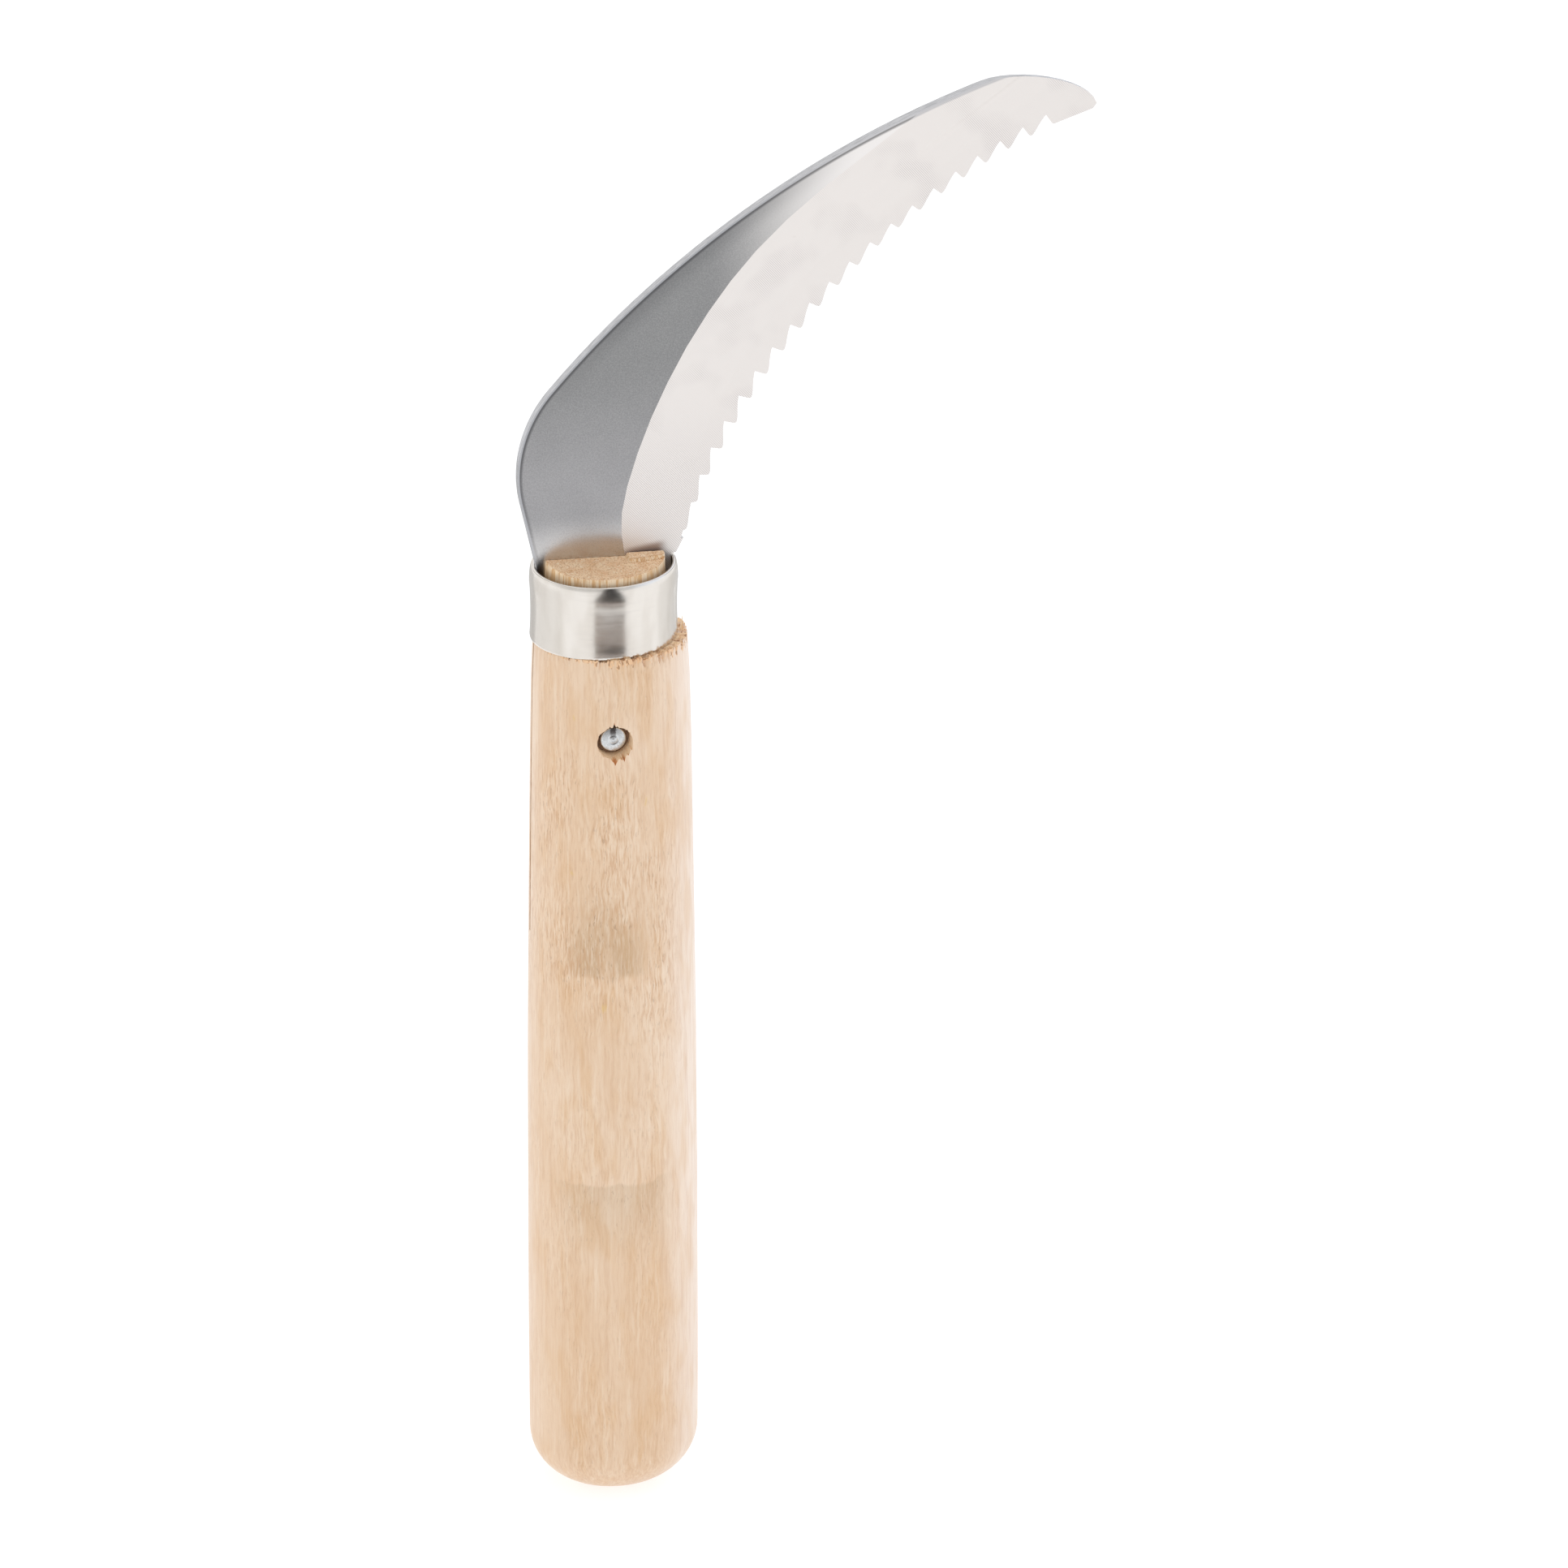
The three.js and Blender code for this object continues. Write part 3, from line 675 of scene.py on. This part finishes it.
def saw_step(p):
    """Height of the tenon's top over its plane: a little aslant, with a proud strip beside the blade."""
    slant = 0.1 - 0.04 * (p.x - TENON_X) - 0.085 * max(abs(p.y) - KERF_HALF, 0.0)
    if p.y > 0:
        return slant
    along = smoothstep(STRIP_START - 0.2, STRIP_START + 0.1, p.x)
    along *= smoothstep(STRIP_END + 0.2, STRIP_END - 0.1, p.x)
    strip_width = STRIP_WIDTH - STRIP_TAPER * (p.x - STRIP_START)
    across = smoothstep(strip_width + 0.08, strip_width - 0.08, -p.y - KERF_HALF)
    return slant + SAW_STEP * along * across


def torn_circle(seed, radius, y, spike):
    """A ring round the rivet's axis whose edge is torn along the grain, up and down."""
    draw = random.Random(seed)
    torn = [(math.pi / 2 + 0.05, 1.0, 0.10)]
    torn += [(math.pi / 2 + draw.uniform(-1.2, 1.2), draw.uniform(0.15, 0.45), 0.10) for _ in range(9)]
    torn += [(-math.pi / 2 + draw.uniform(-1.25, 1.25), draw.uniform(0.25, 0.6), 0.16) for _ in range(11)]
    torn += [(-math.pi / 2 - 0.02, 1.25, 0.20), (-math.pi / 2 + 0.52, 1.0, 0.13)]
    ring = []
    count = 240
    for k in range(count):
        a = 2 * math.pi * k / count
        reach = radius + 0.05 * noise.noise(Vector((3 * math.cos(a), 3 * math.sin(a), seed)))
        x, z = reach * math.cos(a), reach * math.sin(a)
        longest = 0.0
        for at, size, width in torn:
            away = abs((a - at + math.pi) % (2 * math.pi) - math.pi)
            longest = max(longest, size * max(0.0, 1 - away / width) ** 1.4)
        z += math.copysign(spike * longest, math.sin(a))
        ring.append(Vector((RIVET_X + x, y, RIVET_Z + z)))
    return ring


def counterbore_cutter(side):
    """A round-bottomed cutter for one face, from outside the handle to the counterbore's floor."""
    floor = side * COUNTERBORE_FLOOR_Y
    outside = side * (HANDLE_HIGH.y + 3)
    seed = 11 if side < 0 else 12
    rings = [
        torn_circle(seed, COUNTERBORE_RADIUS, floor, 0.0),
        torn_circle(seed, COUNTERBORE_RADIUS, floor + side * 1.2, 0.15),
        torn_circle(seed, COUNTERBORE_RADIUS + 0.06, floor + side * 2.3, 0.85),
        torn_circle(seed, COUNTERBORE_RADIUS + 0.10, outside, 1.0),
    ]
    points, faces = loft(rings)
    count = len(rings[0])
    cap(points, faces, 0, count, Vector((RIVET_X, floor, RIVET_Z)), up=False)
    cap(points, faces, 3 * count, count, Vector((RIVET_X, outside, RIVET_Z)), up=True)
    return points, faces


def kerf_slot(left, right, half, bottom):
    """A closed upright cutter between two x places, from `bottom` to past the tenon's top."""
    ring = [(left, -half), (right, -half), (right, half), (left, half)]
    rings = [[Vector((x, y, z)) for x, y in ring] for z in (bottom, TENON_TOP_Z + 5)]
    points, faces = loft(rings)
    faces += [(0, 1, 2, 3), (4, 5, 6, 7)]
    return points, faces


def tang_slot():
    """The wide part of the kerf, which holds the tang."""
    return kerf_slot(TENON_X - TANG_SLOT_HALF, TENON_X + TANG_SLOT_HALF, KERF_HALF, BLADE_LOW.z - 0.5)


def kerf_lips():
    """The kerf's two nearly closed lips, outside the tang's edges."""
    outside = 2 * GRIP_HALF
    inside = TANG_SLOT_HALF - KERF_LIP_DEPTH
    return [kerf_slot(TENON_X + inside, outside, KERF_LIP_HALF, KERF_BOTTOM_Z),
            kerf_slot(-outside, TENON_X - inside, KERF_LIP_HALF, KERF_BOTTOM_Z)]


def cut(obj, shells):
    """Takes closed shells away from an object."""
    points, faces = [], []
    for shell_points, shell_faces in shells:
        start = len(points)
        points += shell_points
        faces += [tuple(start + i for i in face) for face in shell_faces]
    cutter = add_mesh("cutter", points, faces)
    with_normals_out(cutter)
    boolean = obj.modifiers.new("cut", "BOOLEAN")
    boolean.operation = "DIFFERENCE"
    boolean.solver = "EXACT"
    boolean.object = cutter
    evaluated(obj)
    bpy.data.objects.remove(cutter)


def with_normals_out(obj):
    shape = bmesh.new()
    shape.from_mesh(obj.data)
    bmesh.ops.recalc_face_normals(shape, faces=shape.faces)
    shape.to_mesh(obj.data)
    shape.free()


def handle_face_kind(centre, normal):
    """Index of the wood finish for a face: 0 long grain, 1 end grain, 2 torn, 3 the counterbore's floor,
    painted dark as shade.
    """
    from_rivet = math.hypot(centre.x - RIVET_X, centre.z - RIVET_Z)
    if from_rivet < 1.7 * COUNTERBORE_RADIUS and abs(centre.y) > KERF_HALF + 1:
        if abs(normal.y) > 0.9 and abs(centre.y) < COUNTERBORE_FLOOR_Y + 0.1:
            return 3
        on_wall = abs(normal.y) < 0.6 and abs(normal.x) + abs(normal.z) > 0.8
        if on_wall and from_rivet < 1.5 * COUNTERBORE_RADIUS:
            return 2
    if centre.z > SHOULDER_Z - 2 and normal.z > 0.75:
        return 1
    if centre.z > SHOULDER_Z:
        return 2
    return 0


def paint_handle(obj):
    for face in obj.data.polygons:
        face.material_index = handle_face_kind(face.center / MM, face.normal)


def make_handle(woods):
    rings = [[weather_handle(p) for p in ring] for ring in handle_rings()]
    points, faces = loft(rings)
    cap(points, faces, 0, HANDLE_SEGMENTS, Vector((0, 0, 0)), up=False)
    top = sum(rings[-1], Vector()) / HANDLE_SEGMENTS
    cap(points, faces, (len(rings) - 1) * HANDLE_SEGMENTS, HANDLE_SEGMENTS, top, up=True)
    obj = add_mesh("handle_wood", points, faces, woods)
    with_normals_out(obj)
    cut(obj, kerf_lips() + [counterbore_cutter(-1), counterbore_cutter(1)])
    cut(obj, [tang_slot()])
    paint_handle(obj)
    shade(obj, 32)
    return obj


def sliver(base, tip, width, draw):
    """A thin three-sided splinter from base to tip."""
    along = (tip - base).normalized()
    across = along.cross(Vector((draw.uniform(-1, 1), draw.uniform(-1, 1), 0.3))).normalized()
    other = along.cross(across)
    corners = [base + width * (math.cos(a) * across + math.sin(a) * other) for a in (0.0, 2.1, 4.2)]
    return corners + [tip], [(0, 1, 2), (0, 3, 1), (1, 3, 2), (2, 3, 0)]


def make_splinters(material):
    """Loose fibres round the shoulder's torn edge, and one long sliver at the right of the ferrule."""
    count = 95
    middle_angle, spread, last_angle = -68, 24, -22
    draw = random.Random(5)
    points, faces = [], []

    def add(base, tip, width):
        shape_points, shape_faces = sliver(base, tip, width, draw)
        start = len(points)
        points.extend(shape_points)
        faces.extend(tuple(start + i for i in face) for face in shape_faces)

    for _ in range(count):
        degrees = draw.gauss(middle_angle, spread)
        if degrees > last_angle:
            continue
        angle = math.radians(degrees)
        half = grip_half(SHOULDER_Z) - draw.uniform(0.0, 0.9)
        z = SHOULDER_Z - draw.uniform(0.0, 0.6)
        base = weather_handle(Vector((half * math.cos(angle), GRIP_RATIO * half * math.sin(angle), z)))
        out = Vector((math.cos(angle), math.sin(angle), 0))
        lean = Vector((draw.uniform(-0.5, 0.5), 0, draw.uniform(-0.3, 0.8)))
        add(base, base + (0.35 * out + lean).normalized() * draw.uniform(0.35, 1.0), draw.uniform(0.06, 0.13))
    right = Vector((FERRULE_HIGH.x + 0.25, -1.6, SHOULDER_Z - 0.5))
    add(right, right + Vector((0.35, 0.1, 3.0)), 0.36)
    obj = add_mesh("handle_splinters", points, faces, [material], sharp=80)
    with_normals_out(obj)
    return obj


# ---- Ferrule ----

def ferrule_section():
    """Closed wall section as (half width, height above the shoulder), up the outside and down the inside."""
    height = FERRULE_HIGH.z - FERRULE_LOW.z
    top_roll, top_turn_in = 2.8, 0.44
    foot_roll, foot_turn_in = 0.4, 0.10
    outside = []
    steps = 6
    for i in range(steps + 1):
        a = i / steps * math.pi / 2
        outside.append((FERRULE_HALF - foot_turn_in * (1 - math.sin(a)), foot_roll * (1 - math.cos(a))))
    body = 10
    for i in range(1, body):
        t = i / body
        up = foot_roll + t * (height - top_roll - foot_roll)
        outside.append((FERRULE_HALF - FERRULE_WAIST * math.sin(math.pi * t) ** 0.7, up))
    for i in range(steps + 1):
        a = (1 - i / steps) * math.pi / 2
        down = top_roll * (1 - math.cos(a))
        outside.append((FERRULE_HALF - top_turn_in * (1 - math.sin(a)), height - down))
    lip = 0.12
    top_half, bottom_half = outside[-1][0], outside[0][0]
    edge = [(top_half - lip, height), (top_half - FERRULE_WALL + lip, height),
            (top_half - FERRULE_WALL, height - lip)]
    inside = [(half - FERRULE_WALL, z) for half, z in reversed(outside[2:-2])]
    foot = [(bottom_half - FERRULE_WALL, lip), (bottom_half - FERRULE_WALL + lip, 0.0),
            (bottom_half - lip, 0.0)]
    outside[0] = (bottom_half, lip)
    outside[-1] = (top_half, height - lip)
    return outside + edge + inside + foot


def make_ferrule(material):
    count = 192
    rings = []
    for half, up in ferrule_section():
        ring = []
        for k in range(count):
            a = 2 * math.pi * k / count
            dent = 0.035 * noise.noise(Vector((1.6 * math.cos(a), 1.6 * math.sin(a), 0.16 * up)))
            reach = half + min(dent, 0.0)
            y = FERRULE_RATIO * reach * math.sin(a)
            ring.append(Vector((TENON_X + reach * math.cos(a), y, SHOULDER_Z + up)))
        rings.append(ring)
    points, faces = loft(rings, close=True)
    obj = add_mesh("ferrule_band", points, faces, [material], sharp=55)
    with_normals_out(obj)
    return obj


# ---- Rivet ----

def make_rivet(material):
    """Shank with a domed head at each end. Each head has a small ringed pip, as a peening punch leaves it."""
    under = HEAD_TOP_Y - HEAD_HEIGHT
    shank = 1.45
    pip = 0.78
    corner = 0.16
    dome_rise = 0.10
    shoulder = HEAD_TOP_Y - 0.06 - dome_rise
    half = [(shank, 0.0), (shank, under - 0.02), (HEAD_RADIUS - 0.15, under), (HEAD_RADIUS, under + 0.12)]
    steps = 4
    for i in range(steps + 1):
        a = i / steps * math.pi / 2
        half.append((HEAD_RADIUS - corner * (1 - math.cos(a)), shoulder - corner * (1 - math.sin(a))))
    steps = 6
    for i in range(1, steps + 1):
        t = i / steps
        radius = HEAD_RADIUS - corner - t * (HEAD_RADIUS - corner - pip)
        half.append((radius, shoulder + dome_rise * math.sin(t * 1.5)))
    ringed_pip = [(pip - 0.05, 0.10), (pip - 0.12, 0.09), (pip - 0.20, 0.02), (0.46, 0.0), (0.36, 0.03),
                  (0.24, 0.03), (0.12, 0.0)]
    half += [(radius, HEAD_TOP_Y - below_top) for radius, below_top in ringed_pip]
    section = [(r, -y) for r, y in reversed(half)] + half[1:]
    count = 64
    rings = []
    for radius, y in section:
        ring = []
        for k in range(count):
            a = 2 * math.pi * k / count
            ring.append(Vector((RIVET_X + radius * math.cos(a), y, RIVET_Z + radius * math.sin(a))))
        rings.append(ring)
    points, faces = loft(rings)
    cap(points, faces, 0, count, Vector((RIVET_X, -HEAD_TOP_Y, RIVET_Z)), up=False)
    cap(points, faces, (len(rings) - 1) * count, count, Vector((RIVET_X, HEAD_TOP_Y, RIVET_Z)), up=True)
    obj = add_mesh("rivet_peened", points, faces, [material], sharp=50)
    with_normals_out(obj)
    return obj


# ---- Blade ----

def blade_face_kind(face):
    """0 mill finish on either face, 1 ground bevel, 2 sheared edge."""
    if abs(face.normal.y) < 0.5:
        return 2
    flat = abs(face.normal.y) > 0.99999
    on_front = abs(face.calc_center_median().y / MM - BLADE_FRONT_Y) < 0.004
    if face.normal.y > 0 or (flat and on_front):
        return 0
    return 1


def on_spine_side(point):
    """Whether a point of the outline belongs to the spine or the heel, and not to the toothed side."""
    across = max(-1, min(1, (point.x - SPINE_CENTRE[0]) / SPINE_RADIUS))
    return point.x < 0 or point.z > SPINE_CENTRE[1] + 0.98 * SPINE_RADIUS * math.sin(math.acos(across))


def make_blade(steels):
    """The CAD plate with its flat faces merged and its edges broken by a small bevel, widest on the spine."""
    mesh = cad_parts["blade"].data.copy()
    mesh.materials.clear()
    shape = bmesh.new()
    shape.from_mesh(mesh)
    bmesh.ops.remove_doubles(shape, verts=shape.verts, dist=1e-7)
    bmesh.ops.dissolve_limit(shape, angle_limit=math.radians(0.3), verts=shape.verts, edges=shape.edges)
    for face in shape.faces:
        face.material_index = blade_face_kind(face)
    weight = shape.edges.layers.float.new("bevel_weight_edge")
    for edge in shape.edges:
        if not edge.is_manifold:
            continue
        kinds = {face.material_index for face in edge.link_faces}
        if 2 not in kinds or kinds == {2}:
            continue
        middle = (edge.verts[0].co + edge.verts[1].co) / (2 * MM)
        if not on_spine_side(middle):
            edge[weight] = 0.45
        elif middle.y < 0:
            edge[weight] = 1.0
        else:
            edge[weight] = 0.7
    shape.to_mesh(mesh)
    shape.free()
    for steel in steels:
        mesh.materials.append(steel)
    obj = bpy.data.objects.new("blade_steel", mesh)
    bpy.context.scene.collection.objects.link(obj)
    shade(obj, 30)
    bevel = obj.modifiers.new("broken_edges", "BEVEL")
    bevel.limit_method = "WEIGHT"
    bevel.width = 0.20 * MM
    bevel.segments = 3
    bevel.harden_normals = True
    return obj


# ---- Assembly ----

woods = [wood_long_grain(), wood_end_grain(), wood_torn_grain(), wood_counterbore_shade()]
steels = [steel_mill(), steel_ground(), steel_edge()]

handle = make_handle(woods)
splinters = make_splinters(woods[2])
ferrule = make_ferrule(ferrule_metal())
rivet = make_rivet(rivet_metal())
blade = make_blade(steels)

for piece, node, slot in (
    (handle, "handle", "wood"),
    (ferrule, "ferrule", "ferrule_metal"),
    (rivet, "rivet", "rivet_metal"),
    (blade, "blade", "blade_steel"),
):
    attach(piece, "root")
    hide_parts(node)
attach(splinters, "root")


# ---- Studio ----

def make_floor():
    """A pale floor that also glows a little, so that it stays white and the part's shadow on it is faint."""
    grey, glow_strength = 0.42, 0.72
    material, g = new_material("floor_white")
    tree = g.tree
    paper = g.node("ShaderNodeBsdfDiffuse", {"Color": (grey, grey, grey)})
    glow = g.node("ShaderNodeEmission", {"Color": (1, 1, 1), "Strength": glow_strength})
    output = tree.nodes.new("ShaderNodeOutputMaterial")
    tree.links.new(g.node("ShaderNodeAddShader", {0: paper, 1: glow}), output.inputs["Surface"])
    reach = 4000
    corners = [(-reach, -reach, 0), (reach, -reach, 0), (reach, reach, 0), (-reach, reach, 0)]
    floor = add_mesh("floor", corners, [(0, 1, 2, 3)], [material])


def reflected_only(name, points, faces, glow, reach=None):
    """A card that nothing but a glossy surface sees. `glow` takes the card's Graph and gives its colour.

    `reach` takes the Graph and gives how far off, in millimetres, the card can still be seen.
    """
    material, g = new_material(name)
    output = g.tree.nodes.new("ShaderNodeOutputMaterial")
    surface = g.node("ShaderNodeEmission", {"Color": glow(g), "Strength": 1.0})
    if reach:
        length = g.times(g.node("ShaderNodeLightPath", {}, output="Ray Length"), 1 / MM)
        too_far = g.maths("GREATER_THAN", length, reach(g))
        nothing = g.node("ShaderNodeBsdfTransparent", {})
        surface = g.node("ShaderNodeMixShader", {0: too_far, 1: surface, 2: nothing})
    g.tree.links.new(surface, output.inputs["Surface"])
    card = add_mesh(name, points, faces, [material])
    card.visible_camera = False
    card.visible_diffuse = False
    card.visible_shadow = False
    card.visible_transmission = False


def make_camera_card():
    """Stands for the camera that the ferrule mirrors: a dark card bent round the handle's axis.

    Azimuth 0 is -Y. Above `wide_top` the card narrows like a head. The ferrule's rolled top and flared foot
    show the dark part above `dim_high`, and its waist shows the paler part between `dim_low` and `dim_high`.
    """
    azimuth_from, azimuth_to = -19.5, 21.5
    distance = 100
    low, wide_top, top = 108, 131, 205
    dim_low, dim_high = 114.2, 121.8
    levels = [(low, 1.0), (wide_top, 1.0), (wide_top + 8, 0.78), (wide_top + 30, 0.5), (top, 0.2)]
    middle, half = (azimuth_from + azimuth_to) / 2, (azimuth_to - azimuth_from) / 2
    points, faces = [], []
    steps = 16
    for level, (z, width) in enumerate(levels):
        for i in range(steps + 1):
            a = math.radians(middle + width * half * (2 * i / steps - 1))
            points.append(Vector((TENON_X + distance * math.sin(a), -distance * math.cos(a), z)))
            if level and i:
                here = level * (steps + 1) + i
                faces.append((here - steps - 2, here - steps - 1, here, here - 1))

    def glow(g):
        z = g.axis("Z")
        dim = g.times(g.ramp(z, dim_low - 0.3, dim_low + 0.4), g.ramp(z, dim_high + 1.0, dim_high - 0.5))
        left = g.ramp(g.axis("X"), 10, -32, 0.0, 0.22)
        dark = g.mix(left, (0.012, 0.012, 0.012), (0.50, 0.42, 0.38))
        return g.mix(dim, dark, (0.62, 0.54, 0.50))

    def reach(g):
        """Far enough for the ferrule, and too short for the blade."""
        return g.ramp(g.axis("Z"), 122, 135, 106.3, 98)

    reflected_only("camera_card", points, faces, glow, reach)


def make_upright_card(name, start, end, low, high, grey, far_grey):
    """A flat upright card between two (x, y) places, shading from `grey` to `far_grey` toward +Y."""
    corners = [(*start, low), (*end, low), (*end, high), (*start, high)]

    def glow(g):
        return g.mix(g.ramp(g.axis("Y"), start[1], end[1] + 1), (grey,) * 3, (far_grey,) * 3)

    reflected_only(name, corners, [(0, 1, 2, 3)], glow)


def make_room_cards():
    """Stand for the dimmer parts of the room, in the ferrule's sides and outer edges."""
    side, back, high = 150, 160, 128
    make_upright_card("back_card", (-side, back), (side, back), 50, high, 0.68, 0.68)
    make_upright_card("right_card", (side, -40), (side, side), 60, high, 0.98, 0.74)
    make_upright_card("left_card", (-side, -60), (-side, side), 60, high, 1.0, 0.92)


def make_world():
    """White all round for the camera. As a light it is a little dimmer from the front than from the sides."""
    side_level, front_level = 1.06, 0.72
    tint_from_right = (1.02, 1.11, 1.27)
    world = bpy.data.worlds.new("studio")
    world.use_nodes = True
    world.node_tree.nodes.clear()
    g = Graph(world.node_tree)
    direction = g.node("ShaderNodeTexCoord", {}, output="Generated")
    front = g.node("ShaderNodeVectorMath", {0: direction, 1: (-0.2, -0.97, 0.1)}, output="Value",
                   operation="DOT_PRODUCT")
    level = g.ramp(front, 0.0, 1.0, side_level, front_level)
    camera_ray = g.node("ShaderNodeLightPath", {}, output="Is Camera Ray")
    seen = g.node("ShaderNodeMix", {0: camera_ray, 2: level, 3: 1.0}, data_type="FLOAT")
    right = g.node("ShaderNodeVectorMath", {0: direction, 1: (1, 0, 0)}, output="Value",
                   operation="DOT_PRODUCT")
    from_right = g.times(g.ramp(right, 0.2, 0.9), g.maths("SUBTRACT", 1.0, camera_ray))
    tint = g.mix(from_right, (1.0, 1.0, 1.0), tint_from_right)
    background = g.node("ShaderNodeBackground", {"Color": tint, "Strength": seen})
    output = g.tree.nodes.new("ShaderNodeOutputWorld")
    g.tree.links.new(background, output.inputs["Surface"])
    bpy.context.scene.world = world


def make_camera():
    """Long lens a good arm's length away, from the left and above, aimed a little off the sickle's middle."""
    azimuth = math.radians(-12.5)
    elevation = math.radians(25.3)
    distance = 1200
    target = Vector((0, 0, 167.06))
    back = Vector((math.sin(azimuth) * math.cos(elevation), -math.cos(azimuth) * math.cos(elevation),
                   math.sin(elevation)))
    right = Vector((math.cos(azimuth), math.sin(azimuth), 0))
    axes = Matrix((right, back.cross(right), back))
    pan = Matrix.Rotation(math.radians(1.299), 3, "Y")
    tilt = Matrix.Rotation(math.radians(1.683), 3, "X")
    roll = Matrix.Rotation(math.radians(0.247), 3, "Z")
    turned = (roll @ tilt @ pan @ axes).transposed()
    data = bpy.data.cameras.new("camera")
    data.sensor_width = 36
    data.lens = 175.41
    camera = bpy.data.objects.new("camera", data)
    camera.matrix_world = Matrix.Translation((target + distance * back) * MM) @ turned.to_4x4()
    bpy.context.scene.collection.objects.link(camera)
    bpy.context.scene.camera = camera


make_floor()
make_camera_card()
make_room_cards()
make_world()
make_camera()
bpy.context.scene.view_settings.view_transform = "Standard"
bpy.context.scene.view_settings.look = "None"
